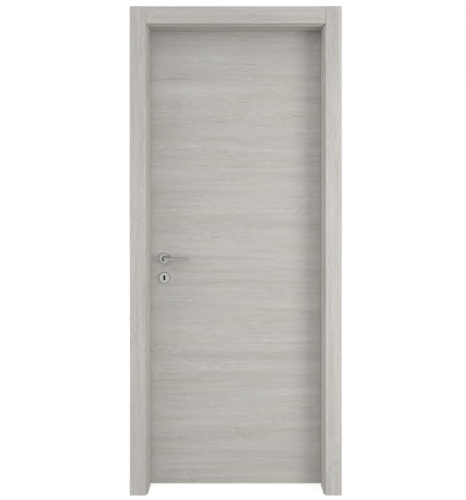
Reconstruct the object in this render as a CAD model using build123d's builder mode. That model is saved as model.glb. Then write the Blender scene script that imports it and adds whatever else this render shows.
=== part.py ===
"""Interior door in millimetres: a flush leaf in a rebated frame with casings on both wall faces.

The photograph shows the push side. +X runs to its right, +Y away from the viewer, +Z up.
The origin lies at floor level on the wall face of the hinge-side jamb, half way through its depth.
"""
import os

from build123d import *

# Frame: passage between the stop boards and the section of jamb and stop together
passage_width = 790.0
passage_height = 2105.0
jamb_thickness = 40.0
jamb_depth = 115.0
jamb_nose_radius = 3.0
jamb_edge_radius = 1.5
jamb_back_chamfer = 1.5

# Leaf: how far the stop laps over it, the gap round it and its make-up
stop_lap = 8.0
edge_gap = 6.5
floor_gap = 6.0
leaf_thickness = 40.0
skin_thickness = 4.0
skin_edge_chamfer = 0.8
stile_width = 38.0
rail_height = 38.0

# Seal between the stop and the leaf
seal_space = 4.3
seal_clearance = 0.3
seal_stem_width = 2.4
seal_stem_depth = 5.0

# Casings: boards with a tongue that slides into a groove in the jamb
casing_width = 73.0
head_casing_width = 78.0
casing_thickness = 10.0
casing_edge_radius = 1.5
casing_lip = 7.0
tongue_thickness = 5.0
front_tongue_length = 22.0
back_tongue_length = 10.0
groove_clearance = 0.2
groove_end_clearance = 1.5
casing_joint_gap = 0.4

# Lock: height of the handle, drop to the keyhole and distance from the leaf's edge
spindle_height = 1052.0
key_distance = 90.0
backset = 72.0
case_thickness = 16.0
case_overrun = 24.0
case_above = 42.0
case_below = 48.0
case_clearance = 0.2
forend_width = 22.0
forend_height = 238.0
forend_thickness = 3.0
bolt_thickness = 10.0
bolt_height = 32.0
bolt_length = 38.0
bolt_clearance = 0.3
latch_rise = 14.0
latch_projection = 1.5
latch_nose_radius = 1.2
keyhole_width = 10.5
keyhole_height = 24.0
keyhole_waist = 9.0

# Strike plate in the lock-side jamb
strike_width = 24.0
strike_height = 200.0
strike_thickness = 2.5
strike_corner_radius = 4.0
strike_pocket_width = 12.0
strike_pocket_height = 38.0
strike_pocket_depth = 14.0

# Roses and lever handle
rose_radius = 26.0
rose_face_radius = 23.0
rose_thickness = 7.0
rose_hole_oversize = 3.0
neck_radius = 10.0
neck_clearance = 0.3
lever_reach = 46.0
collar_radius = 12.0
outer_bend_radius = 32.0
inner_bend_radius = 16.0
grip_length = 115.0
grip_depth = 11.0
grip_root_height = 15.5
grip_tip_height = 12.0
grip_throat_radius = 9.0
grip_bevel_width = 2.2
grip_bevel_depth = 5.0
grip_tip_chamfer = 1.2
spindle_size = 8.0
spindle_clearance = 0.1
spindle_engagement = 26.0
follower_radius = 9.0
follower_clearance = 0.1

# Lift-off hinges on the pull side
hinge_height = 100.0
hinge_end_distance = 230.0
hinge_plate_thickness = 2.5
hinge_plate_width = 30.0
hinge_axis_offset = 8.5
barrel_radius = 7.0
barrel_end_chamfer = 1.2
barrel_gap = 0.3
pin_radius = 4.0
pin_clearance = 0.06
pin_length = 36.0
mortise_clearance = 0.2

# Positions that follow from the sizes
hinge_side = 1
lock_side = -1
front = -1
back = 1
leaf_width = passage_width + 2 * stop_lap
leaf_top = passage_height + stop_lap
leaf_height = leaf_top - floor_gap
rebate_step = stop_lap + edge_gap
opening_x = -(passage_width / 2 + jamb_thickness)
jamb_height = passage_height + jamb_thickness
leaf_back_y = jamb_depth / 2
leaf_front_y = leaf_back_y - leaf_thickness
leaf_middle_y = leaf_back_y - leaf_thickness / 2
stop_y = leaf_front_y - seal_space
core_thickness = leaf_thickness - 2 * skin_thickness
lock_edge_x = opening_x - leaf_width / 2
hinge_edge_x = opening_x + leaf_width / 2
rebate_face_x = hinge_edge_x + edge_gap
spindle_x = lock_edge_x + backset
key_height = spindle_height - key_distance
latch_height = spindle_height + latch_rise
lock_middle_height = (spindle_height + key_height) / 2
hinge_axis_x = hinge_edge_x + edge_gap / 2
hinge_axis_y = leaf_back_y + hinge_axis_offset
upper_hinge_height = leaf_top - hinge_end_distance
lower_hinge_height = floor_gap + hinge_end_distance
middle_hinge_height = (upper_hinge_height + lower_hinge_height) / 2
front_casing_step = casing_lip
back_casing_step = rebate_step + casing_lip
leaf_middle_plane = Plane(origin=(0, leaf_middle_y, 0), z_dir=(0, 1, 0))


def side_plane(side, distance):
    """Section plane at the floor: local x leads away from the opening, local y to the back."""
    return Plane(origin=(opening_x + side * distance, 0, 0), x_dir=(side, 0, 0), z_dir=(0, 0, side))


def head_plane(height):
    """Section plane across the head: local x leads up, local y to the back."""
    return Plane(origin=(opening_x, 0, height), x_dir=(0, 0, 1), z_dir=(-1, 0, 0))


def mitre_plane(side):
    """Plane of the mitre between a side jamb and the head, its normal towards the side jamb."""
    corner = (opening_x + side * passage_width / 2, 0, passage_height)
    return Plane(origin=corner, z_dir=(side, 0, -1))


def front_face_plane(height):
    """Plane on the leaf's push face at the lock's centre line, its normal towards the viewer."""
    return Plane(origin=(spindle_x, leaf_front_y, height), x_dir=(1, 0, 0), z_dir=(0, -1, 0))


def jamb_section(plane):
    """Jamb board with a groove for the tongue of the back casing."""
    front_y = -jamb_depth / 2
    back_y = jamb_depth / 2
    groove_inner = back_casing_step - groove_clearance
    groove_outer = back_casing_step + tongue_thickness + groove_clearance
    groove_floor = back_y - back_tongue_length - groove_end_clearance
    with BuildSketch(plane) as section:
        with BuildLine():
            Polyline(
                (rebate_step, front_y),
                (jamb_thickness, front_y),
                (jamb_thickness, back_y),
                (groove_outer, back_y),
                (groove_outer, groove_floor),
                (groove_inner, groove_floor),
                (groove_inner, back_y),
                (rebate_step, back_y),
                close=True,
            )
        make_face()
        back_corner = section.vertices().group_by(Axis.Y)[-1].sort_by(Axis.X)[0]
        fillet(back_corner, radius=jamb_edge_radius)
        wall_corners = section.vertices().group_by(Axis.X)[-1]
        chamfer(wall_corners, length=jamb_back_chamfer)
    return section.sketch


def stop_section(plane):
    """Stop board glued to the jamb, grooved for the front casing's tongue and for the seal."""
    front_y = -jamb_depth / 2
    groove_inner = front_casing_step - groove_clearance
    groove_outer = front_casing_step + tongue_thickness + groove_clearance
    groove_floor = front_y + front_tongue_length + groove_end_clearance
    seal_inner = stop_lap / 2 - seal_stem_width / 2 - groove_clearance
    seal_outer = stop_lap / 2 + seal_stem_width / 2 + groove_clearance
    seal_floor = stop_y - seal_stem_depth - groove_clearance
    with BuildSketch(plane) as section:
        with BuildLine():
            Polyline(
                (0, front_y),
                (groove_inner, front_y),
                (groove_inner, groove_floor),
                (groove_outer, groove_floor),
                (groove_outer, front_y),
                (rebate_step, front_y),
                (rebate_step, stop_y),
                (seal_outer, stop_y),
                (seal_outer, seal_floor),
                (seal_inner, seal_floor),
                (seal_inner, stop_y),
                (0, stop_y),
                close=True,
            )
        make_face()
        nose = section.vertices().group_by(Axis.X)[0].sort_by(Axis.Y)[0]
        fillet(nose, radius=jamb_nose_radius)
        stop_corner = section.vertices().group_by(Axis.X)[0].sort_by(Axis.Y)[-1]
        fillet(stop_corner, radius=jamb_edge_radius)
    return section.sketch


def seal_section(plane):
    """Round bulb on a flat stem that is pressed into the groove of the stop."""
    bulb_radius = (seal_space - seal_clearance) / 2
    bulb_y = stop_y + bulb_radius
    stem_length = bulb_radius + seal_stem_depth
    with BuildSketch(plane) as section:
        with Locations((stop_lap / 2, bulb_y)):
            Circle(bulb_radius)
            Rectangle(seal_stem_width, stem_length, align=(Align.CENTER, Align.MAX))
    return section.sketch


def casing_board(plane, face, width):
    """Flat casing board with eased edges on its visible face."""
    wall_y = face * jamb_depth / 2
    with BuildSketch(plane) as section:
        with Locations((width / 2, wall_y + face * casing_thickness / 2)):
            Rectangle(width, casing_thickness)
        shown = section.vertices().sort_by(lambda corner: face * corner.Y)[-2:]
        fillet(shown, radius=casing_edge_radius)
    return section.sketch


def casing_tongue(plane, face, length):
    """Tongue at the casing's inner edge."""
    with BuildSketch(plane) as section:
        with Locations((tongue_thickness / 2, face * (jamb_depth / 2 - length / 2))):
            Rectangle(tongue_thickness, length)
    return section.sketch


def keyhole_outline(plane, growth):
    """Upright keyhole with round ends, drawn in a little at its waist."""
    end_radius = keyhole_width / 2 + growth
    end_distance = keyhole_height / 2 + growth - end_radius
    with BuildSketch(plane) as outline:
        with Locations((0, end_distance), (0, -end_distance)):
            Circle(end_radius)
        Rectangle(keyhole_waist + 2 * growth, 2 * end_distance)
    return outline.sketch


# Side jambs: boards mitred at the head, mortised for the hinges and the strike plate
with BuildPart() as jamb_hinge_side:
    hinge_jamb_plane = side_plane(hinge_side, passage_width / 2)
    extrude(jamb_section(hinge_jamb_plane), amount=hinge_side * jamb_height)
    split(bisect_by=mitre_plane(hinge_side), keep=Keep.TOP)
    mortise_depth = hinge_plate_width + mortise_clearance
    for height in (upper_hinge_height, middle_hinge_height, lower_hinge_height):
        with Locations((rebate_face_x, leaf_back_y - mortise_depth, height)):
            Box(
                hinge_plate_thickness,
                mortise_depth,
                hinge_height + 2 * mortise_clearance,
                align=(Align.MIN, Align.MIN, Align.CENTER),
                mode=Mode.SUBTRACT,
            )
jamb_hinge_side.part.label = "jamb_hinge_side"

with BuildPart() as jamb_lock_side:
    lock_jamb_plane = side_plane(lock_side, passage_width / 2)
    lock_rebate_x = lock_edge_x - edge_gap
    extrude(jamb_section(lock_jamb_plane), amount=lock_side * jamb_height)
    split(bisect_by=mitre_plane(lock_side), keep=Keep.TOP)
    strike_seat = Plane(
        origin=(lock_rebate_x, leaf_middle_y, lock_middle_height), x_dir=(0, 1, 0), z_dir=(1, 0, 0)
    )
    with BuildSketch(strike_seat):
        RectangleRounded(
            strike_width + 2 * mortise_clearance,
            strike_height + 2 * mortise_clearance,
            strike_corner_radius + mortise_clearance,
        )
    extrude(amount=-strike_thickness, mode=Mode.SUBTRACT)
    with BuildSketch(strike_seat):
        with Locations((0, latch_height - lock_middle_height), (0, key_height - lock_middle_height)):
            Rectangle(strike_pocket_width, strike_pocket_height)
    extrude(amount=-strike_pocket_depth, mode=Mode.SUBTRACT)
jamb_lock_side.part.label = "jamb_lock_side"

# Head jamb: the same section between the two mitres
with BuildPart() as jamb_head:
    extrude(
        jamb_section(head_plane(passage_height)),
        amount=passage_width / 2 + jamb_thickness,
        both=True,
    )
    split(bisect_by=mitre_plane(hinge_side), keep=Keep.BOTTOM)
    split(bisect_by=mitre_plane(lock_side), keep=Keep.BOTTOM)
jamb_head.part.label = "jamb_head"

# Stops: boards on the jambs that the leaf closes against, mitred with them
with BuildPart() as stop_hinge_side:
    extrude(
        stop_section(side_plane(hinge_side, passage_width / 2)), amount=hinge_side * jamb_height
    )
    split(bisect_by=mitre_plane(hinge_side), keep=Keep.TOP)
stop_hinge_side.part.label = "stop_hinge_side"

with BuildPart() as stop_lock_side:
    extrude(stop_section(side_plane(lock_side, passage_width / 2)), amount=lock_side * jamb_height)
    split(bisect_by=mitre_plane(lock_side), keep=Keep.TOP)
stop_lock_side.part.label = "stop_lock_side"

with BuildPart() as stop_head:
    extrude(
        stop_section(head_plane(passage_height)),
        amount=passage_width / 2 + jamb_thickness,
        both=True,
    )
    split(bisect_by=mitre_plane(hinge_side), keep=Keep.BOTTOM)
    split(bisect_by=mitre_plane(lock_side), keep=Keep.BOTTOM)
stop_head.part.label = "stop_head"

# Seals: rubber bulbs in the stop's groove, mitred like the jambs
with BuildPart() as seal_hinge_side:
    extrude(
        seal_section(side_plane(hinge_side, passage_width / 2)), amount=hinge_side * jamb_height
    )
    split(bisect_by=mitre_plane(hinge_side), keep=Keep.TOP)
seal_hinge_side.part.label = "seal_hinge_side"

with BuildPart() as seal_lock_side:
    extrude(seal_section(side_plane(lock_side, passage_width / 2)), amount=lock_side * jamb_height)
    split(bisect_by=mitre_plane(lock_side), keep=Keep.TOP)
seal_lock_side.part.label = "seal_lock_side"

with BuildPart() as seal_head:
    extrude(
        seal_section(head_plane(passage_height)),
        amount=passage_width / 2 + jamb_thickness,
        both=True,
    )
    split(bisect_by=mitre_plane(hinge_side), keep=Keep.BOTTOM)
    split(bisect_by=mitre_plane(lock_side), keep=Keep.BOTTOM)
seal_head.part.label = "seal_head"

# Front casings: side boards to full height, the head board fitted between them with a hairline joint
front_inner_half = passage_width / 2 + front_casing_step
front_inner_height = passage_height + front_casing_step
front_outer_height = front_inner_height + head_casing_width

with BuildPart() as casing_front_hinge_side:
    board_plane = side_plane(hinge_side, front_inner_half)
    board_length = hinge_side * front_outer_height
    tongue_run = hinge_side * front_inner_height
    extrude(casing_board(board_plane, front, casing_width), amount=board_length)
    extrude(casing_tongue(board_plane, front, front_tongue_length), amount=tongue_run)
casing_front_hinge_side.part.label = "casing_front_hinge_side"

with BuildPart() as casing_front_lock_side:
    board_plane = side_plane(lock_side, front_inner_half)
    board_length = lock_side * front_outer_height
    tongue_run = lock_side * front_inner_height
    extrude(casing_board(board_plane, front, casing_width), amount=board_length)
    extrude(casing_tongue(board_plane, front, front_tongue_length), amount=tongue_run)
casing_front_lock_side.part.label = "casing_front_lock_side"

with BuildPart() as casing_front_head:
    board_plane = head_plane(front_inner_height)
    half_length = front_inner_half - casing_joint_gap
    extrude(casing_board(board_plane, front, head_casing_width), amount=half_length, both=True)
    extrude(casing_tongue(board_plane, front, front_tongue_length), amount=half_length, both=True)
casing_front_head.part.label = "casing_front_head"

# Back casings: the same boards round the rebate, set back to clear the hinge barrels
back_inner_half = passage_width / 2 + back_casing_step
back_inner_height = passage_height + back_casing_step
back_outer_height = back_inner_height + head_casing_width

with BuildPart() as casing_back_hinge_side:
    board_plane = side_plane(hinge_side, back_inner_half)
    board_length = hinge_side * back_outer_height
    tongue_run = hinge_side * back_inner_height
    extrude(casing_board(board_plane, back, casing_width), amount=board_length)
    extrude(casing_tongue(board_plane, back, back_tongue_length), amount=tongue_run)
casing_back_hinge_side.part.label = "casing_back_hinge_side"

with BuildPart() as casing_back_lock_side:
    board_plane = side_plane(lock_side, back_inner_half)
    board_length = lock_side * back_outer_height
    tongue_run = lock_side * back_inner_height
    extrude(casing_board(board_plane, back, casing_width), amount=board_length)
    extrude(casing_tongue(board_plane, back, back_tongue_length), amount=tongue_run)
casing_back_lock_side.part.label = "casing_back_lock_side"

with BuildPart() as casing_back_head:
    board_plane = head_plane(back_inner_height)
    half_length = back_inner_half - casing_joint_gap
    extrude(casing_board(board_plane, back, head_casing_width), amount=half_length, both=True)
    extrude(casing_tongue(board_plane, back, back_tongue_length), amount=half_length, both=True)
casing_back_head.part.label = "casing_back_head"

# Strike plate: let in flush with the rebate, cut out for the latch and the dead bolt
with BuildPart() as strike_plate:
    with BuildSketch(strike_seat):
        RectangleRounded(strike_width, strike_height, strike_corner_radius)
        with Locations((0, latch_height - lock_middle_height), (0, key_height - lock_middle_height)):
            Rectangle(strike_pocket_width, strike_pocket_height, mode=Mode.SUBTRACT)
    extrude(amount=-strike_thickness)
strike_plate.part.label = "strike_plate"

# Leaf skins: hardboard sheets over the whole leaf, bored under the roses
spindle_hole_radius = neck_radius + rose_hole_oversize
with BuildPart() as leaf_front_skin:
    with Locations((opening_x, leaf_front_y, floor_gap)):
        Box(leaf_width, skin_thickness, leaf_height, align=(Align.CENTER, Align.MIN, Align.MIN))
    chamfer(leaf_front_skin.faces().sort_by(Axis.Y)[0].edges(), length=skin_edge_chamfer)
    with BuildSketch(front_face_plane(spindle_height)):
        Circle(spindle_hole_radius)
    extrude(amount=-skin_thickness, mode=Mode.SUBTRACT)
    key_opening = keyhole_outline(front_face_plane(key_height), rose_hole_oversize)
    extrude(key_opening, amount=-skin_thickness, mode=Mode.SUBTRACT)
leaf_front_skin.part.label = "leaf_front_skin"

with BuildPart() as leaf_back_skin:
    mirror(leaf_front_skin.part, about=leaf_middle_plane)
    for height in (upper_hinge_height, middle_hinge_height, lower_hinge_height):
        with Locations((hinge_edge_x, leaf_back_y, height)):
            Box(
                hinge_plate_thickness,
                hinge_plate_width + mortise_clearance,
                hinge_height + 2 * mortise_clearance,
                align=(Align.MAX, Align.MAX, Align.CENTER),
                mode=Mode.SUBTRACT,
            )
leaf_back_skin.part.label = "leaf_back_skin"

# Leaf frame: stiles to full height and rails between them, under the skins
with BuildPart() as leaf_hinge_stile:
    with Locations((hinge_edge_x, leaf_middle_y, floor_gap)):
        Box(stile_width, core_thickness, leaf_height, align=(Align.MAX, Align.CENTER, Align.MIN))
    for height in (upper_hinge_height, middle_hinge_height, lower_hinge_height):
        with Locations((hinge_edge_x, leaf_back_y, height)):
            Box(
                hinge_plate_thickness,
                hinge_plate_width + mortise_clearance,
                hinge_height + 2 * mortise_clearance,
                align=(Align.MAX, Align.MAX, Align.CENTER),
                mode=Mode.SUBTRACT,
            )
leaf_hinge_stile.part.label = "leaf_hinge_stile"

lock_edge_plane = Plane(
    origin=(lock_edge_x, leaf_middle_y, lock_middle_height), x_dir=(0, 1, 0), z_dir=(1, 0, 0)
)
case_height = case_above + key_distance + case_below
case_centre = (case_above - case_below) / 2
with BuildPart() as leaf_lock_stile:
    with Locations((lock_edge_x, leaf_middle_y, floor_gap)):
        Box(stile_width, core_thickness, leaf_height, align=(Align.MIN, Align.CENTER, Align.MIN))
    with BuildSketch(lock_edge_plane):
        SlotOverall(forend_height + 2 * case_clearance, forend_width + 2 * case_clearance, rotation=90)
    extrude(amount=forend_thickness, mode=Mode.SUBTRACT)
    with BuildSketch(lock_edge_plane):
        with Locations((0, case_centre)):
            Rectangle(case_thickness + 2 * case_clearance, case_height + 2 * case_clearance)
    extrude(amount=stile_width, mode=Mode.SUBTRACT)
leaf_lock_stile.part.label = "leaf_lock_stile"

rail_length = leaf_width - 2 * stile_width
with BuildPart() as leaf_top_rail:
    with Locations((opening_x, leaf_middle_y, leaf_top)):
        Box(rail_length, core_thickness, rail_height, align=(Align.CENTER, Align.CENTER, Align.MAX))
leaf_top_rail.part.label = "leaf_top_rail"

with BuildPart() as leaf_bottom_rail:
    with Locations((opening_x, leaf_middle_y, floor_gap)):
        Box(rail_length, core_thickness, rail_height, align=(Align.CENTER, Align.CENTER, Align.MIN))
leaf_bottom_rail.part.label = "leaf_bottom_rail"

# Lock: steel case behind a forend, with the latch drawn in and the dead bolt unlocked
case_depth = backset + case_overrun
with BuildPart() as lock_case:
    with BuildSketch(lock_edge_plane.offset(forend_thickness)):
        with Locations((0, case_centre)):
            Rectangle(case_thickness, case_height)
    extrude(amount=case_depth - forend_thickness)
    with BuildSketch(lock_edge_plane):
        with Locations((0, latch_height - lock_middle_height), (0, key_height - lock_middle_height)):
            Rectangle(bolt_thickness + 2 * bolt_clearance, bolt_height + 2 * bolt_clearance)
    extrude(amount=bolt_length + bolt_clearance, mode=Mode.SUBTRACT)
    with BuildSketch(front_face_plane(spindle_height)):
        Circle(follower_radius + follower_clearance)
    extrude(amount=-leaf_thickness, mode=Mode.SUBTRACT)
    extrude(
        keyhole_outline(front_face_plane(key_height), 0), amount=-leaf_thickness, mode=Mode.SUBTRACT
    )
lock_case.part.label = "lock_case"

with BuildPart() as lock_forend:
    with BuildSketch(lock_edge_plane):
        SlotOverall(forend_height, forend_width, rotation=90)
        with Locations((0, latch_height - lock_middle_height), (0, key_height - lock_middle_height)):
            Rectangle(
                bolt_thickness + 2 * bolt_clearance,
                bolt_height + 2 * bolt_clearance,
                mode=Mode.SUBTRACT,
            )
    extrude(amount=forend_thickness)
lock_forend.part.label = "lock_forend"

with BuildPart() as latch_bolt:
    with BuildSketch(lock_edge_plane.offset(-latch_projection)):
        with Locations((0, latch_height - lock_middle_height)):
            Rectangle(bolt_thickness, bolt_height)
    extrude(amount=latch_projection + bolt_length)
    fillet(latch_bolt.faces().sort_by(Axis.X)[0].edges(), radius=latch_nose_radius)
latch_bolt.part.label = "latch_bolt"

with BuildPart() as dead_bolt:
    with BuildSketch(lock_edge_plane):
        with Locations((0, key_height - lock_middle_height)):
            Rectangle(bolt_thickness, bolt_height)
    extrude(amount=bolt_length)
dead_bolt.part.label = "dead_bolt"

# Roses: turned discs that narrow to their flat face, on both faces of the leaf
with BuildPart(front_face_plane(spindle_height)) as rose_front:
    Cone(
        rose_radius,
        rose_face_radius,
        rose_thickness,
        align=(Align.CENTER, Align.CENTER, Align.MIN),
    )
    with BuildSketch(front_face_plane(spindle_height)):
        Circle(neck_radius + neck_clearance)
    extrude(amount=rose_thickness, mode=Mode.SUBTRACT)
rose_front.part.label = "rose_front"

with BuildPart(front_face_plane(key_height)) as key_rose_front:
    Cone(
        rose_radius,
        rose_face_radius,
        rose_thickness,
        align=(Align.CENTER, Align.CENTER, Align.MIN),
    )
    extrude(
        keyhole_outline(front_face_plane(key_height), 0), amount=rose_thickness, mode=Mode.SUBTRACT
    )
key_rose_front.part.label = "key_rose_front"

with BuildPart() as rose_back:
    mirror(rose_front.part, about=leaf_middle_plane)
rose_back.part.label = "rose_back"

with BuildPart() as key_rose_back:
    mirror(key_rose_front.part, about=leaf_middle_plane)
key_rose_back.part.label = "key_rose_back"


def bevel_plane(side):
    """Plane of the bevel along the grip's upper or lower front edge, its normal outwards."""
    edge_height = side * (grip_root_height / 2 - grip_bevel_width)
    edge_start = front_face_plane(spindle_height).from_local_coords((0, edge_height, lever_reach))
    along = Vector(grip_length, 0, side * (grip_tip_height - grip_root_height) / 2)
    across = Vector(0, grip_bevel_depth, side * grip_bevel_width)
    return Plane(origin=edge_start, x_dir=along, z_dir=along.cross(across) * side)


# Lever: a neck in the rose, a collar over it and a bend into a bevelled grip with a square tip
with BuildPart() as lever_front:
    neck_plane = front_face_plane(spindle_height).offset(neck_clearance)
    with BuildSketch(neck_plane.offset(rose_thickness)) as front_outline:
        Circle(collar_radius)
        with BuildLine():
            Polyline(
                (0, -grip_root_height / 2),
                (grip_length, -grip_tip_height / 2),
                (grip_length, grip_tip_height / 2),
                (0, grip_root_height / 2),
                close=True,
            )
        make_face()
        throats = front_outline.vertices().filter_by_position(Axis.X, 0, collar_radius)
        fillet(throats, radius=grip_throat_radius)
    extrude(amount=lever_reach - rose_thickness - neck_clearance)
    lever_plan = Plane(
        origin=(spindle_x, leaf_front_y, spindle_height), x_dir=(1, 0, 0), z_dir=(0, 0, -1)
    )
    with BuildSketch(lever_plan) as bend_outline:
        with BuildLine():
            Polyline(
                (-collar_radius, 0),
                (-collar_radius, lever_reach),
                (grip_length, lever_reach),
                (grip_length, lever_reach - grip_depth),
                (collar_radius, lever_reach - grip_depth),
                (collar_radius, 0),
                close=True,
            )
        make_face()
        inner_corner = bend_outline.vertices().group_by(Axis.Y)[1].sort_by(Axis.X)[0]
        fillet(inner_corner, radius=inner_bend_radius)
        outer_corner = bend_outline.vertices().group_by(Axis.Y)[-1].sort_by(Axis.X)[0]
        fillet(outer_corner, radius=outer_bend_radius)
    extrude(amount=collar_radius, both=True, mode=Mode.INTERSECT)
    split(bisect_by=bevel_plane(1), keep=Keep.BOTTOM)
    split(bisect_by=bevel_plane(-1), keep=Keep.BOTTOM)
    chamfer(lever_front.faces().sort_by(Axis.X)[-1].edges(), length=grip_tip_chamfer)
    with BuildSketch(neck_plane):
        Circle(neck_radius)
    extrude(amount=rose_thickness)
    with BuildSketch(neck_plane):
        Rectangle(spindle_size + 2 * spindle_clearance, spindle_size + 2 * spindle_clearance)
    extrude(amount=spindle_engagement, mode=Mode.SUBTRACT)
lever_front.part.label = "lever_front"

with BuildPart() as lever_back:
    mirror(lever_front.part, about=leaf_middle_plane)
lever_back.part.label = "lever_back"

# Spindle: square bar through the lock's follower into both levers
with BuildPart() as spindle:
    with Locations((spindle_x, leaf_middle_y, spindle_height)):
        Box(spindle_size, leaf_thickness + 2 * spindle_engagement - spindle_size, spindle_size)
spindle.part.label = "spindle"

with BuildPart() as lock_follower:
    with BuildSketch(front_face_plane(spindle_height).offset(-leaf_thickness / 2)):
        Circle(follower_radius)
        Rectangle(
            spindle_size + 2 * spindle_clearance,
            spindle_size + 2 * spindle_clearance,
            mode=Mode.SUBTRACT,
        )
    extrude(amount=case_thickness / 2, both=True)
lock_follower.part.label = "lock_follower"


def hinge_plate_plane(face_x, height):
    """Plane of a hinge plate's shown face, local x to the back and local y up."""
    return Plane(origin=(face_x, leaf_back_y, height), x_dir=(0, 1, 0), z_dir=(1, 0, 0))


def barrel(height, end):
    """Barrel above or below the hinge's middle, bevelled at its outer end."""
    middle = Plane.XY.offset(height + end * barrel_gap / 2)
    with BuildPart() as knuckle:
        with BuildSketch(middle):
            with Locations((hinge_axis_x, hinge_axis_y)):
                Circle(barrel_radius)
        extrude(amount=end * (hinge_height - barrel_gap) / 2)
        outer_end = knuckle.faces().sort_by(lambda face: end * face.center().Z)[-1]
        chamfer(outer_end.edges(), length=barrel_end_chamfer)
    return knuckle.part


def frame_half(height):
    """Plate let into the jamb, lower barrel and the pin on which the leaf hangs."""
    with BuildPart() as half:
        with BuildSketch(hinge_plate_plane(rebate_face_x, height)):
            Rectangle(hinge_plate_width, hinge_height, align=(Align.MAX, Align.CENTER))
        extrude(amount=hinge_plate_thickness)
        with Locations((rebate_face_x, leaf_back_y, height - barrel_gap / 2)):
            Box(
                hinge_plate_thickness,
                hinge_axis_offset,
                (hinge_height - barrel_gap) / 2,
                align=(Align.MIN, Align.MIN, Align.MAX),
            )
        add(barrel(height, -1))
        with BuildSketch(Plane.XY.offset(height - barrel_gap / 2)):
            with Locations((hinge_axis_x, hinge_axis_y)):
                Circle(pin_radius)
        extrude(amount=pin_length)
    return half.part


def leaf_half(height):
    """Plate let into the leaf's edge and the upper barrel, bored for the pin."""
    with BuildPart() as half:
        with BuildSketch(hinge_plate_plane(hinge_edge_x, height)):
            Rectangle(hinge_plate_width, hinge_height, align=(Align.MAX, Align.CENTER))
        extrude(amount=-hinge_plate_thickness)
        with Locations((hinge_edge_x, leaf_back_y, height + barrel_gap / 2)):
            Box(
                hinge_plate_thickness,
                hinge_axis_offset,
                (hinge_height - barrel_gap) / 2,
                align=(Align.MAX, Align.MIN, Align.MIN),
            )
        add(barrel(height, 1))
        with BuildSketch(Plane.XY.offset(height + barrel_gap / 2)):
            with Locations((hinge_axis_x, hinge_axis_y)):
                Circle(pin_radius + pin_clearance)
        extrude(amount=pin_length, mode=Mode.SUBTRACT)
    return half.part


# Hinges: three lift-off pairs, the frame half below and the leaf half above
with BuildPart() as hinge_upper_frame_half:
    add(frame_half(upper_hinge_height))
hinge_upper_frame_half.part.label = "hinge_upper_frame_half"

with BuildPart() as hinge_middle_frame_half:
    add(frame_half(middle_hinge_height))
hinge_middle_frame_half.part.label = "hinge_middle_frame_half"

with BuildPart() as hinge_lower_frame_half:
    add(frame_half(lower_hinge_height))
hinge_lower_frame_half.part.label = "hinge_lower_frame_half"

with BuildPart() as hinge_upper_leaf_half:
    add(leaf_half(upper_hinge_height))
hinge_upper_leaf_half.part.label = "hinge_upper_leaf_half"

with BuildPart() as hinge_middle_leaf_half:
    add(leaf_half(middle_hinge_height))
hinge_middle_leaf_half.part.label = "hinge_middle_leaf_half"

with BuildPart() as hinge_lower_leaf_half:
    add(leaf_half(lower_hinge_height))
hinge_lower_leaf_half.part.label = "hinge_lower_leaf_half"

# Files: one for each piece
os.makedirs("parts", exist_ok=True)
pieces = (
    jamb_hinge_side,
    jamb_lock_side,
    jamb_head,
    stop_hinge_side,
    stop_lock_side,
    stop_head,
    seal_hinge_side,
    seal_lock_side,
    seal_head,
    casing_front_hinge_side,
    casing_front_lock_side,
    casing_front_head,
    casing_back_hinge_side,
    casing_back_lock_side,
    casing_back_head,
    strike_plate,
    leaf_front_skin,
    leaf_back_skin,
    leaf_hinge_stile,
    leaf_lock_stile,
    leaf_top_rail,
    leaf_bottom_rail,
    lock_case,
    lock_forend,
    latch_bolt,
    dead_bolt,
    rose_front,
    rose_back,
    key_rose_front,
    key_rose_back,
    lever_front,
    lever_back,
    spindle,
    lock_follower,
    hinge_upper_frame_half,
    hinge_middle_frame_half,
    hinge_lower_frame_half,
    hinge_upper_leaf_half,
    hinge_middle_leaf_half,
    hinge_lower_leaf_half,
)
for piece in pieces:
    export_step(piece.part, f"parts/{piece.part.label}.step")
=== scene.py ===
import math

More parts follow.
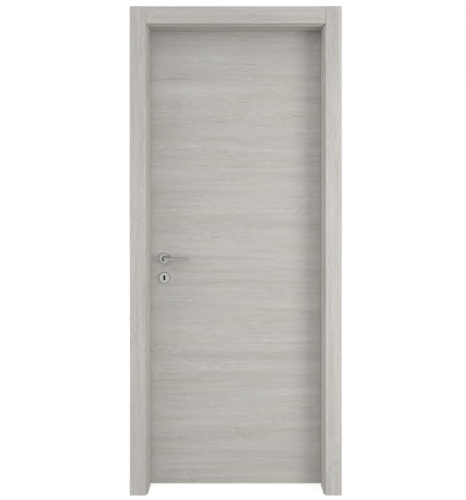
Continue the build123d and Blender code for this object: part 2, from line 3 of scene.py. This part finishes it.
import bpy
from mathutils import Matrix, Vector


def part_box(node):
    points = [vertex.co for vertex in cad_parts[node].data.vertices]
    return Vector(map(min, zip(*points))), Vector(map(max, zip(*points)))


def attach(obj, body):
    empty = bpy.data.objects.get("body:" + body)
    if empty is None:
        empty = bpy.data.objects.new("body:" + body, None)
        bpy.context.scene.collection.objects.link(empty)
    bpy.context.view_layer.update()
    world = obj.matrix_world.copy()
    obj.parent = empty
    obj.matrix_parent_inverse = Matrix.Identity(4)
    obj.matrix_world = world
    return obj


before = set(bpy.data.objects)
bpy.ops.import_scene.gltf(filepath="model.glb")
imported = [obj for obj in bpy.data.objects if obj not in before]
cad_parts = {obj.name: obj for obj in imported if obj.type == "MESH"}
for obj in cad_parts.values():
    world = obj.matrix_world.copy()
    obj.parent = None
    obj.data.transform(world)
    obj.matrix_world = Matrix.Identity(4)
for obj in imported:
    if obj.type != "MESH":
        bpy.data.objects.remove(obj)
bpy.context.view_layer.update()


# Frame of jambs and stops: fibreboard wrapped in a printed grey oak foil, matt, with the grain
# running up the sides and along the head. Stops are glued to the jambs, the corners are mitred,
# and the sawn ends and the face against the wall are left as bare board.
class Socket:
    """One socket of a node tree. Sums, differences and products of sockets add Math nodes."""

    def __init__(self, nodes, socket):
        self.nodes = nodes
        self.socket = socket

    def maths(self, operation, first, second):
        inputs = {"Value": first, "Value_001": second}
        return self.nodes.node("ShaderNodeMath", {"operation": operation}, inputs)["Value"]

    def __add__(self, other):
        return self.maths("ADD", self, other)

    __radd__ = __add__

    def __sub__(self, other):
        return self.maths("SUBTRACT", self, other)

    def __rsub__(self, other):
        return self.maths("SUBTRACT", other, self)

    def __mul__(self, other):
        return self.maths("MULTIPLY", self, other)

    __rmul__ = __mul__

    def __gt__(self, other):
        return self.maths("GREATER_THAN", self, other)

    def __lt__(self, other):
        return self.maths("LESS_THAN", self, other)

    def size(self):
        return self.maths("ABSOLUTE", self, 0.0)

    def either(self, other):
        return self.maths("MAXIMUM", self, other)

    def between(self, low, high):
        """0 below low, 1 above high, with a soft step between."""
        settings = {"interpolation_type": "SMOOTHSTEP"}
        inputs = {"Value": self, "From Min": low, "From Max": high}
        return self.nodes.node("ShaderNodeMapRange", settings, inputs)["Result"]


class Nodes:
    """A node tree whose nodes are added by one method: kind, settings, then values or links."""

    def __init__(self, tree):
        self.tree = tree

    def node(self, kind, settings, inputs):
        made = self.tree.nodes.new(kind)
        for key, value in settings.items():
            if key == "stops":
                ramp = made.color_ramp.elements
                while len(ramp) < len(value):
                    ramp.new(1.0)
                for stop, (place, colour) in zip(ramp, value):
                    stop.position = place
                    stop.color = (*colour, 1.0)
            else:
                setattr(made, key, value)
        for key, value in inputs.items():
            self.feed(made, key, value)
        return {s.name: Socket(self, s) for s in made.outputs if s.enabled}

    def feed(self, node, key, value):
        into = next(s for s in node.inputs if s.identifier == key or (s.enabled and s.name == key))
        if isinstance(value, list):
            for one in value:
                self.tree.links.new(one.socket, into)
        elif isinstance(value, Socket):
            self.tree.links.new(value.socket, into)
        elif into.type == "RGBA":
            into.default_value = (*value, 1.0)
        else:
            into.default_value = value


class Finish(Nodes):
    """A material on one Principled shader."""

    def __init__(self, name):
        self.material = bpy.data.materials.new(name)
        self.material.use_nodes = True
        super().__init__(self.material.node_tree)
        self.shader = self.tree.nodes["Principled BSDF"]

    def shade(self, **sockets):
        for key, value in sockets.items():
            self.feed(self.shader, key.replace("_", " "), value)

    def place(self):
        return self.node("ShaderNodeTexCoord", {}, {})

    def scaled(self, vector, scale):
        inputs = {"Vector": vector, "Vector_001": scale}
        return self.node("ShaderNodeVectorMath", {"operation": "MULTIPLY"}, inputs)["Vector"]

    def moved(self, vector, offset):
        inputs = {"Vector": vector, "Vector_001": offset}
        return self.node("ShaderNodeVectorMath", {"operation": "ADD"}, inputs)["Vector"]

    def pushed(self, direction, amount):
        inputs = {"Vector": direction, "Scale": amount}
        return self.node("ShaderNodeVectorMath", {"operation": "SCALE"}, inputs)["Vector"]

    def noise(self, vector, detail=2.0, roughness=0.5):
        inputs = {"Vector": vector, "Scale": 1.0, "Detail": detail, "Roughness": roughness}
        outputs = self.node("ShaderNodeTexNoise", {"noise_dimensions": "3D"}, inputs)
        return next(iter(outputs.values()))

    def ramp(self, value, stops):
        return self.node("ShaderNodeValToRGB", {"stops": stops}, {"Fac": value})["Color"]

    def mixed(self, factor, first, second, blend="MIX"):
        settings = {"data_type": "RGBA", "blend_type": blend}
        inputs = {"Factor_Float": factor, "A_Color": first, "B_Color": second}
        return self.node("ShaderNodeMix", settings, inputs)["Result"]

    def bump(self, height, strength, depth):
        inputs = {"Height": height, "Strength": strength, "Distance": depth}
        return self.node("ShaderNodeBump", {}, inputs)["Normal"]

    def axes(self, vector):
        parts = self.node("ShaderNodeSeparateXYZ", {}, {"Vector": vector})
        return parts["X"], parts["Y"], parts["Z"]


def dress(finish, *names):
    """Gives CAD nodes a finish."""
    for name in names:
        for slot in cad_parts[name].material_slots:
            slot.material = finish.material


x_axis, y_axis, z_axis = 0, 1, 2


def stretched(along, lengthwise, across):
    """A vector with one value along the grain and another across it."""
    return tuple(lengthwise if axis == along else across for axis in range(3))


def grey_oak(name, along, shift, bare=None, shade=1.0):
    """Printed grey oak foil, its figure drawn out along one axis; bare picks out uncovered board."""
    oak = Finish(name)
    place = oak.place()
    position = oak.moved(place["Object"], shift)

    def figure(vector, lengthwise, across, detail=1.0, roughness=0.5):
        """Noise with so many marks to the metre along the grain and across it."""
        return oak.noise(oak.scaled(vector, stretched(along, lengthwise, across)), detail, roughness)

    curl = figure(position, 2.1, 6.5).between(0.50, 0.64)
    sway = (figure(position, 1.1, 3.5) - 0.5) * 0.045
    ripple = (figure(position, 13.0, 18.0) - 0.5) * curl * 0.055
    grain = oak.moved(position, oak.pushed(stretched(along, 0.0, 1.0), sway + ripple))
    figured = 0.3 + 0.7 * figure(position, 3.5, 17.0, 2.0).between(0.38, 0.62)
    band = figure(grain, 0.7, 20.0, 2.0)
    streak = figure(grain, 2.6, 85.0, 3.0, 0.6)
    fleck = figure(grain, 30.0, 165.0, 2.0).between(0.50, 0.78)
    vein = figure(grain, 9.0, 190.0, 2.0).between(0.55, 0.75)
    pores = figure(grain, 30.0, 900.0, 2.0).between(0.60, 0.76)
    marks = (fleck * 0.27 - vein * 0.24 - 0.04) * figured
    tone = 0.51 + (band - 0.5) * 0.50 + (streak - 0.5) * 0.46 + marks - pores * 0.10
    print_tones = [
        (0.15, (0.390, 0.368, 0.341)),
        (0.50, (0.530, 0.508, 0.479)),
        (0.85, (0.655, 0.635, 0.606)),
    ]
    # shade scales the print's tones: a lighter print on the casings; on the stops, painted light and
    # painted shade.
    foil = oak.ramp(tone, [(stop, tuple(part * shade for part in colour)) for stop, colour in print_tones])
    reddish, plain, greenish = (1.0, 0.982, 0.965), (1.0, 1.0, 1.0), (0.982, 1.0, 0.982)
    hue = oak.ramp(figure(position, 3.0, 11.0), [(0.3, reddish), (0.5, plain), (0.7, greenish)])
    colour = oak.mixed(1.0, foil, hue, "MULTIPLY")
    rough = 0.56 + (streak - 0.5) * 0.22 + pores * 0.10
    relief = streak * 0.6 - pores * 0.8
    if bare is not None:
        mask = bare(oak, place)
        speckle = oak.noise(oak.scaled(place["Object"], (420.0, 420.0, 420.0)), 3.0, 0.7)
        board_tones = [
            (0.30, (0.225, 0.150, 0.090)),
            (0.50, (0.330, 0.232, 0.146)),
            (0.72, (0.430, 0.320, 0.214)),
        ]
        colour = oak.mixed(mask, colour, oak.ramp(speckle, board_tones))
        rough = rough + mask * 0.28
        relief = relief + mask * speckle * 1.5
    oak.shade(Base_Color=colour, Roughness=rough, Normal=oak.bump(relief, 0.35, 0.0006))
    return oak


end_on = 0.9
wall_face_depth = 0.0006


def sawn_ends(along):
    """The cut across the grain, seen on faces that look along it."""
    return lambda finish, place: finish.axes(place["Normal"])[along].size() > end_on


upright_ends, level_ends = sawn_ends(z_axis), sawn_ends(x_axis)


def with_wall_face(ends, across, wall):
    """The cut ends, and the face that stands against the wall."""

    def bare(finish, place):
        wall_face = (finish.axes(place["Object"])[across] - wall).size() < wall_face_depth
        return ends(finish, place).either(wall_face)

    return bare


hinge_wall = with_wall_face(upright_ends, x_axis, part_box("jamb_hinge_side")[1].x)
lock_wall = with_wall_face(upright_ends, x_axis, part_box("jamb_lock_side")[0].x)
head_wall = with_wall_face(level_ends, z_axis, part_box("jamb_head")[1].z)
dress(grey_oak("jamb_foil_hinge_side", z_axis, (0.31, 0.13, 0.2), hinge_wall), "jamb_hinge_side")
dress(grey_oak("jamb_foil_lock_side", z_axis, (0.77, 0.41, 0.9), lock_wall), "jamb_lock_side")
dress(grey_oak("jamb_foil_head", x_axis, (0.4, 0.27, 0.6), head_wall), "jamb_head")

side_stop_print, head_stop_print = (1.63, 0.71, 0.35), (1.2, 0.55, 1.4)
# Painted light and shade: the hinge-side stop is painted lighter, the lock-side and head stops darker.
hinge_stop_painted_light, lock_stop_painted_shade, head_stop_painted_shade = 1.04, 0.92, 0.94
hinge_stop_foil = grey_oak("stop_foil_hinge_side", z_axis, side_stop_print, upright_ends, hinge_stop_painted_light)
dress(hinge_stop_foil, "stop_hinge_side")
lock_stop_foil = grey_oak("stop_foil_lock_side", z_axis, side_stop_print, upright_ends, lock_stop_painted_shade)
dress(lock_stop_foil, "stop_lock_side")
head_stop_foil = grey_oak("stop_foil_head", x_axis, head_stop_print, level_ends, head_stop_painted_shade)
dress(head_stop_foil, "stop_head")


# Seals: soft extruded rubber strips pressed into a groove of the stops, mitred at the corners.
# Matt grey with a faint bloom, so that they hardly show beside the foil.
seal = Finish("seal_rubber")
seal_place = seal.place()
bloom = seal.noise(seal.scaled(seal_place["Object"], (260.0, 260.0, 60.0)), 3.0, 0.6)
seal_colour = seal.ramp(bloom, [(0.3, (0.150, 0.146, 0.140)), (0.7, (0.245, 0.240, 0.230))])
seal.shade(Base_Color=seal_colour, Roughness=0.62 + bloom * 0.2, Normal=seal.bump(bloom, 0.2, 0.0003))
dress(seal, "seal_hinge_side", "seal_lock_side", "seal_head")


# Casings: flat boards in the same foil, with eased edges and a tongue pressed into the jamb.
# The side boards run to full height and the head board is butted between them.
casing_shade = 1.03
hinge_casing_foil = grey_oak("casing_foil_hinge_side", z_axis, (0.05, 0.0, 0.0), upright_ends, casing_shade)
dress(hinge_casing_foil, "casing_front_hinge_side", "casing_back_hinge_side")
lock_casing_foil = grey_oak("casing_foil_lock_side", z_axis, (0.61, 0.30, 0.80), upright_ends, casing_shade)
dress(lock_casing_foil, "casing_front_lock_side", "casing_back_lock_side")
head_casing_foil = grey_oak("casing_foil_head", x_axis, (2.3, 0.9, 0.47), level_ends, casing_shade)
dress(head_casing_foil, "casing_front_head", "casing_back_head")


# Leaf frame: softwood stiles and rails under the skins. The upright edges of the leaf carry a
# glued edge band in the same oak print; the top and bottom edges stay bare wood.
def pine(name, along, shift):
    """Planed pine, its rings drawn out along one axis."""
    wood = Finish(name)
    position = wood.moved(wood.place()["Object"], shift)
    sway = wood.noise(wood.scaled(position, stretched(along, 1.5, 8.0)), 1.0) - 0.5
    grain = wood.moved(position, wood.pushed(stretched(along, 0.0, 0.05), sway))
    rings = wood.noise(wood.scaled(grain, stretched(along, 1.6, 70.0)), 3.0, 0.6)
    fibre = wood.noise(wood.scaled(grain, stretched(along, 14.0, 620.0)), 2.0)
    wood_tones = [
        (0.28, (0.470, 0.300, 0.150)),
        (0.50, (0.640, 0.460, 0.275)),
        (0.72, (0.735, 0.580, 0.390)),
    ]
    colour = wood.ramp(rings * 0.7 + fibre * 0.3, wood_tones)
    wood.shade(Base_Color=colour, Roughness=0.66 + fibre * 0.14, Normal=wood.bump(fibre, 0.3, 0.0006))
    return wood


edge_band = grey_oak("leaf_edge_band", z_axis, (0.9, 1.7, 0.4), upright_ends)
dress(edge_band, "leaf_hinge_stile", "leaf_lock_stile")
dress(pine("leaf_rail_pine", x_axis, (0.2, 0.5, 0.1)), "leaf_top_rail", "leaf_bottom_rail")


# Leaf skins: thin boards in the grey oak foil pressed on both faces, with the grain across the leaf.
# Their edges are eased where they meet the edge band.
dress(grey_oak("leaf_foil_front", x_axis, (0.0, 0.0, 0.0)), "leaf_front_skin")
dress(grey_oak("leaf_foil_back", x_axis, (3.1, 2.0, 1.7)), "leaf_back_skin")


# Lock and strike plate: a blackened steel case in the leaf's edge behind a brushed forend, with
# latch and dead bolt drawn in, and a brushed strike plate let into the jamb. The case's colour is
# kept near black partly as painted shade, so that the keyhole reads dark.
def brushed(name, low, high, along, rough, painted_shade_mask=None):
    """Brushed metal between two tones; the mask, where given, picks out faces painted black as shade."""
    metal = Finish(name)
    place = metal.place()
    strokes = metal.noise(metal.scaled(place["Object"], stretched(along, 30.0, 1500.0)), 3.0, 0.6)
    smudge = metal.noise(metal.scaled(place["Object"], (45.0, 45.0, 45.0)), 3.0, 0.55)
    colour = metal.ramp(strokes * 0.6 + smudge * 0.4, [(0.3, low), (0.7, high)])
    if painted_shade_mask is not None:
        # Painted shade: faces in the mask are painted black.
        black = (0.010, 0.010, 0.010)
        colour = metal.mixed(painted_shade_mask(metal, place), colour, black)
    metal.shade(
        Base_Color=colour,
        Metallic=1.0,
        Roughness=rough + (smudge - 0.5) * 0.16 + (strokes - 0.5) * 0.10,
        Normal=metal.bump(strokes, 0.12, 0.0002),
    )
    return metal


plated_steel = brushed("plated_steel", (0.40, 0.40, 0.39), (0.56, 0.56, 0.55), z_axis, 0.34)
dress(plated_steel, "strike_plate", "lock_forend", "latch_bolt", "dead_bolt", "spindle", "lock_follower")
# Painted shade in part: the steel of the case and tumbler is kept near black so the keyhole reads dark.
black_steel = brushed("black_steel", (0.018, 0.018, 0.018), (0.045, 0.045, 0.044), z_axis, 0.55)
dress(black_steel, "lock_case")


# Tumbler: the blackened steel lever inside the lock that a key lifts, stamped from sheet with
# round ends and broken edges. It crosses the keyhole half way through the case and shuts out light;
# its near-black colour there is partly painted shade, so that the keyhole reads black.
tumbler_radius, tumbler_straight = 0.007, 0.014
tumbler_thickness, tumbler_chamfer = 0.002, 0.0003
tumbler_end_steps = 16


def tumbler_edge(inset):
    """The outline seen from the front, two half circles joined by straights, as (x, z) points."""
    reach = tumbler_radius - inset
    points = []
    for end, start_angle in ((1, 0.0), (-1, math.pi)):
        for step in range(tumbler_end_steps + 1):
            turn = start_angle + math.pi * step / tumbler_end_steps
            points.append((reach * math.cos(turn), end * tumbler_straight / 2 + reach * math.sin(turn)))
    return points


key_low, key_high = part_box("key_rose_front")
case_low, case_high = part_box("lock_case")
keyhole_middle = (key_low + key_high) / 2
keyhole_middle.y = (case_low.y + case_high.y) / 2
tumbler_face = tumbler_thickness / 2
tumbler_side = tumbler_face - tumbler_chamfer
tumbler_layers = [
    (-tumbler_face, tumbler_chamfer),
    (-tumbler_side, 0.0),
    (tumbler_side, 0.0),
    (tumbler_face, tumbler_chamfer),
]
tumbler_rings = [
    [keyhole_middle + Vector((x, depth, z)) for x, z in tumbler_edge(inset)]
    for depth, inset in tumbler_layers
]
ring_count = len(tumbler_rings[0])
last_ring = ring_count * (len(tumbler_rings) - 1)
tumbler_faces = [tuple(range(ring_count)), tuple(reversed(range(last_ring, last_ring + ring_count)))]
for first in range(0, last_ring, ring_count):
    for step in range(ring_count):
        here = first + step
        following = first + (step + 1) % ring_count
        tumbler_faces.append((here, here + ring_count, following + ring_count, following))
tumbler_mesh = bpy.data.meshes.new("lock_tumbler")
tumbler_mesh.from_pydata([point for ring in tumbler_rings for point in ring], [], tumbler_faces)
tumbler_mesh.materials.append(black_steel.material)
tumbler = bpy.data.objects.new("lock_tumbler", tumbler_mesh)
bpy.context.scene.collection.objects.link(tumbler)
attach(tumbler, "leaf")


# Roses: turned discs of zinc alloy that narrow to a flat face, plated in satin nickel, one round
# the lever's neck and one with the keyhole on each face of the leaf. The walls of the keyhole are
# painted black: painted shade, so that the hole reads dark.
keyhole_reach = Vector((0.007, 0.0, 0.014))
turned_sideways = 0.5


def keyhole_painted_shade(finish, place):
    """The walls of the keyhole, painted black as shade: close round its middle, and facing sideways."""
    x, _, z = finish.axes(place["Object"])
    near_x = (x - keyhole_middle.x).size() < keyhole_reach.x
    near_z = (z - keyhole_middle.z).size() < keyhole_reach.z
    return near_x * near_z * (finish.axes(place["Normal"])[y_axis].size() < turned_sideways)


rose_nickel = brushed("rose_nickel", (0.42, 0.42, 0.41), (0.505, 0.505, 0.495), x_axis, 0.32, keyhole_painted_shade)
dress(rose_nickel, "rose_front", "rose_back", "key_rose_front", "key_rose_back")


# Levers: cast in zinc alloy with a bevelled grip and plated in satin nickel like the roses, their
# tones painted slightly darker than the roses' as painted shade. The pair sits on one square spindle
# that passes through the lock.
# Painted shade: the lever's tones are set below the roses'.
lever_nickel = brushed("lever_nickel", (0.33, 0.33, 0.325), (0.41, 0.41, 0.40), x_axis, 0.34)
dress(lever_nickel, "lever_front", "lever_back")


# Hinges: three pairs of lift-off halves in nickel plated steel, the leaf's half hung on a pin.
# Their plates are let in flush and screwed to the leaf's edge and to the jamb.
hinge_places = ("upper", "middle", "lower")
hinge_names = [f"hinge_{place}_{half}_half" for place in hinge_places for half in ("frame", "leaf")]
dress(brushed("hinge_nickel", (0.42, 0.42, 0.41), (0.54, 0.54, 0.53), z_axis, 0.28), *hinge_names)


# Screws: countersunk steel screws with a cross recess, four in each hinge plate and two in the
# strike plate and the forend. Their heads stand just proud of the plates.
screw_steel = brushed("screw_steel", (0.36, 0.36, 0.35), (0.52, 0.52, 0.51), x_axis, 0.32)
screw_sizes = {
    "Head radius": 0.0036,
    "Head top radius": 0.0029,
    "Head rise": 0.0005,
    "Recess width": 0.0010,
    "Recess length": 0.0042,
    "Recess depth": 0.0004,
}
screw_tree = bpy.data.node_groups.new("countersunk_screws", "GeometryNodeTree")
screw_tree.interface.new_socket("Geometry", in_out="INPUT", socket_type="NodeSocketGeometry")
for size in screw_sizes:
    screw_tree.interface.new_socket(size, in_out="INPUT", socket_type="NodeSocketFloat")
screw_tree.interface.new_socket("Material", in_out="INPUT", socket_type="NodeSocketMaterial")
screw_tree.interface.new_socket("Geometry", in_out="OUTPUT", socket_type="NodeSocketGeometry")

screw = Nodes(screw_tree)
given = screw.node("NodeGroupInput", {}, {})
head_sizes = {
    "Vertices": 24,
    "Radius Top": given["Head top radius"],
    "Radius Bottom": given["Head radius"],
    "Depth": given["Head rise"],
}
head = screw.node("GeometryNodeMeshCone", {"fill_type": "NGON"}, head_sizes)["Mesh"]
recess_sizes = {"X": given["Recess length"], "Y": given["Recess width"], "Z": 2.0 * given["Recess depth"]}
recess_box = screw.node("ShaderNodeCombineXYZ", {}, recess_sizes)["Vector"]
one_slot = screw.node("GeometryNodeMeshCube", {}, {"Size": recess_box})["Mesh"]
quarter_turn = {"Geometry": one_slot, "Rotation": (0.0, 0.0, math.pi / 2)}
other_slot = screw.node("GeometryNodeTransform", {}, quarter_turn)["Geometry"]
cross = screw.node("GeometryNodeJoinGeometry", {}, {"Geometry": [one_slot, other_slot]})["Geometry"]
head_top = screw.node("ShaderNodeCombineXYZ", {}, {"Z": given["Head rise"]})["Vector"]
recess = screw.node("GeometryNodeTransform", {}, {"Geometry": cross, "Translation": head_top})["Geometry"]
cut = {"operation": "DIFFERENCE", "solver": "EXACT"}
crossing = {"Mesh 1": head, "Mesh 2": recess, "Self Intersection": True}
cut_head = screw.node("GeometryNodeMeshBoolean", cut, crossing)["Mesh"]
vector_kind = {"data_type": "FLOAT_VECTOR"}
facing = screw.node("GeometryNodeInputNamedAttribute", vector_kind, {"Name": "facing"})["Attribute"]
turned = screw.node("FunctionNodeAlignRotationToVector", {"axis": "Z"}, {"Vector": facing})["Rotation"]
angles = {"Min_001": 0.0, "Max_001": math.pi / 2, "Seed": 7}
angle = screw.node("FunctionNodeRandomValue", {"data_type": "FLOAT"}, angles)["Value"]
about_itself = {"Axis": (0.0, 0.0, 1.0), "Angle": angle}
spin = screw.node("FunctionNodeAxisAngleToRotation", {}, about_itself)["Rotation"]
both = {"Rotation": turned, "Rotate By": spin}
rotation = screw.node("FunctionNodeRotateRotation", {"rotation_space": "LOCAL"}, both)["Rotation"]
on_seats = {"Points": given["Geometry"], "Instance": cut_head, "Rotation": rotation}
placed = screw.node("GeometryNodeInstanceOnPoints", {}, on_seats)["Instances"]
real = screw.node("GeometryNodeRealizeInstances", {}, {"Geometry": placed})["Geometry"]
steel = {"Geometry": real, "Material": given["Material"]}
plated = screw.node("GeometryNodeSetMaterial", {}, steel)["Geometry"]
screw.node("NodeGroupOutput", {}, {"Geometry": plated})


def screws(name, body, seats):
    """One mesh of screw heads in one material, from a list of (place, direction that the head faces)."""
    points = bpy.data.meshes.new(name + "_seats")
    points.from_pydata([place for place, _ in seats], [], [])
    direction = points.attributes.new("facing", "FLOAT_VECTOR", "POINT")
    for entry, (_, way) in zip(direction.data, seats):
        entry.vector = way
    seated = bpy.data.objects.new(name + "_seats", points)
    bpy.context.scene.collection.objects.link(seated)
    heads = seated.modifiers.new("screws", "NODES")
    heads.node_group = screw_tree
    for item in screw_tree.interface.items_tree:
        if item.name in screw_sizes:
            heads[item.identifier] = screw_sizes[item.name]
        elif item.name == "Material":
            heads[item.identifier] = screw_steel.material
    evaluated = seated.evaluated_get(bpy.context.evaluated_depsgraph_get())
    mesh = bpy.data.meshes.new_from_object(evaluated)
    mesh.name = name
    mesh.materials.clear()
    mesh.materials.append(screw_steel.material)
    piece = bpy.data.objects.new(name, mesh)
    bpy.context.scene.collection.objects.link(piece)
    seated.modifiers.remove(heads)
    bpy.data.objects.remove(seated)
    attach(piece, body)


hinge_screw_outer_drop, hinge_screw_inner_drop = 0.039, 0.014
hinge_screw_outer_inset, hinge_screw_inner_inset = 0.009, 0.021
hinge_screw_places = (
    (-hinge_screw_outer_drop, hinge_screw_outer_inset),
    (-hinge_screw_inner_drop, hinge_screw_inner_inset),
    (hinge_screw_inner_drop, hinge_screw_inner_inset),
    (hinge_screw_outer_drop, hinge_screw_outer_inset),
)
strike_screw_drop, forend_screw_drop = 0.089, 0.106
to_the_right, to_the_left = (1.0, 0.0, 0.0), (-1.0, 0.0, 0.0)
jamb_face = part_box("jamb_hinge_side")[0].x
leaf_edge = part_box("leaf_hinge_stile")[1].x
leaf_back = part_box("leaf_back_skin")[1].y
frame_seats, leaf_seats = [], []
for place in hinge_places:
    low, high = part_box(f"hinge_{place}_leaf_half")
    middle = (low.z + high.z) / 2
    for drop, inset in hinge_screw_places:
        frame_seats.append(((jamb_face, leaf_back - inset, middle + drop), to_the_left))
        leaf_seats.append(((leaf_edge, leaf_back - inset, middle + drop), to_the_right))
strike_low, strike_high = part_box("strike_plate")
strike_middle = (strike_low + strike_high) / 2
forend_low, forend_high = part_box("lock_forend")
forend_middle = (forend_low + forend_high) / 2
for sign in (-1, 1):
    strike_seat = (strike_high.x, strike_middle.y, strike_middle.z + sign * strike_screw_drop)
    frame_seats.append((strike_seat, to_the_right))
    forend_seat = (forend_low.x, forend_middle.y, forend_middle.z + sign * forend_screw_drop)
    leaf_seats.append((forend_seat, to_the_left))
screws("screws_in_frame", "frame", frame_seats)
screws("screws_in_leaf", "leaf", leaf_seats)


# Studio: white all round and brighter overhead, over a white floor that keeps a faint shadow. A soft
# lamp stands at the front right at about the lever's height, a weaker one glances along the door
# from the left, and a third lights the back.
def shown(nodes):
    """1 for what the camera sees by itself or in reflections."""
    path = nodes.node("ShaderNodeLightPath", {}, {})
    return path["Is Camera Ray"].either(path["Is Glossy Ray"])


white, black = (1.0, 1.0, 1.0), (0.0, 0.0, 0.0)
side_light, ceiling_light = 0.52, 1.08
world = bpy.data.worlds.new("studio")
world.use_nodes = True
bpy.context.scene.world = world
room = Nodes(world.node_tree)
room_background = world.node_tree.nodes["Background"]
room.feed(room_background, "Color", white)
direction = room.node("ShaderNodeTexCoord", {}, {})["Generated"]
upward = room.node("ShaderNodeSeparateXYZ", {}, {"Vector": direction})["Z"].either(0.0)
room_light = side_light + ceiling_light * upward
room.feed(room_background, "Strength", room_light + (1.0 - room_light) * shown(room))

floor_reach, floor_height = 9.0, -0.0005
floor_corners = [
    (x * floor_reach, y * floor_reach, floor_height) for x, y in ((-1, -1), (1, -1), (1, 1), (-1, 1))
]
floor_mesh = bpy.data.meshes.new("studio_floor")
floor_mesh.from_pydata(floor_corners, [], [(0, 1, 2, 3)])
floor = bpy.data.objects.new("studio_floor", floor_mesh)
bpy.context.scene.collection.objects.link(floor)
floor_paint = Finish("floor_white")
floor_glow = floor_paint.mixed(shown(floor_paint), black, white)
floor_paint.shade(Base_Color=(0.25, 0.25, 0.25), Roughness=0.9, Specular_IOR_Level=0.0)
floor_paint.shade(Emission_Color=floor_glow, Emission_Strength=0.80)
floor_mesh.materials.append(floor_paint.material)


def soft_lamp(name, place, aim, width, height, watts):
    """A rectangular area lamp at a place, turned to what it aims at."""
    lamp = bpy.data.lights.new(name, "AREA")
    lamp.shape = "RECTANGLE"
    lamp.size = width
    lamp.size_y = height
    lamp.energy = watts
    holder = bpy.data.objects.new(name, lamp)
    holder.location = place
    holder.rotation_euler = (Vector(aim) - Vector(place)).to_track_quat("-Z", "Y").to_euler()
    bpy.context.scene.collection.objects.link(holder)


door_middle = (-0.435, 0.0, 1.1)
soft_lamp("right_lamp", (1.80, -1.63, 1.15), door_middle, width=1.1, height=1.3, watts=31.0)
soft_lamp("left_lamp", (-2.80, -0.86, 1.15), door_middle, width=0.9, height=1.8, watts=10.5)
soft_lamp("back_lamp", (-0.90, 3.00, 1.50), door_middle, width=1.6, height=1.8, watts=24.0)


# Camera: straight on to the push side at about eye height, some two and a quarter metres away.
# Its frame is shifted down, so that the upright edges of the door stay parallel.
camera = bpy.data.cameras.new("camera")
camera.sensor_width = 36.0
camera.lens = 35.4
camera.shift_x = -0.006
camera.shift_y = -0.098
viewer = bpy.data.objects.new("camera", camera)
viewer.location = (-0.434, -2.2675, 1.318)
viewer.rotation_euler = (math.pi / 2, 0.0, 0.0)
bpy.context.scene.collection.objects.link(viewer)
bpy.context.scene.camera = viewer
bpy.context.scene.view_settings.view_transform = "Standard"
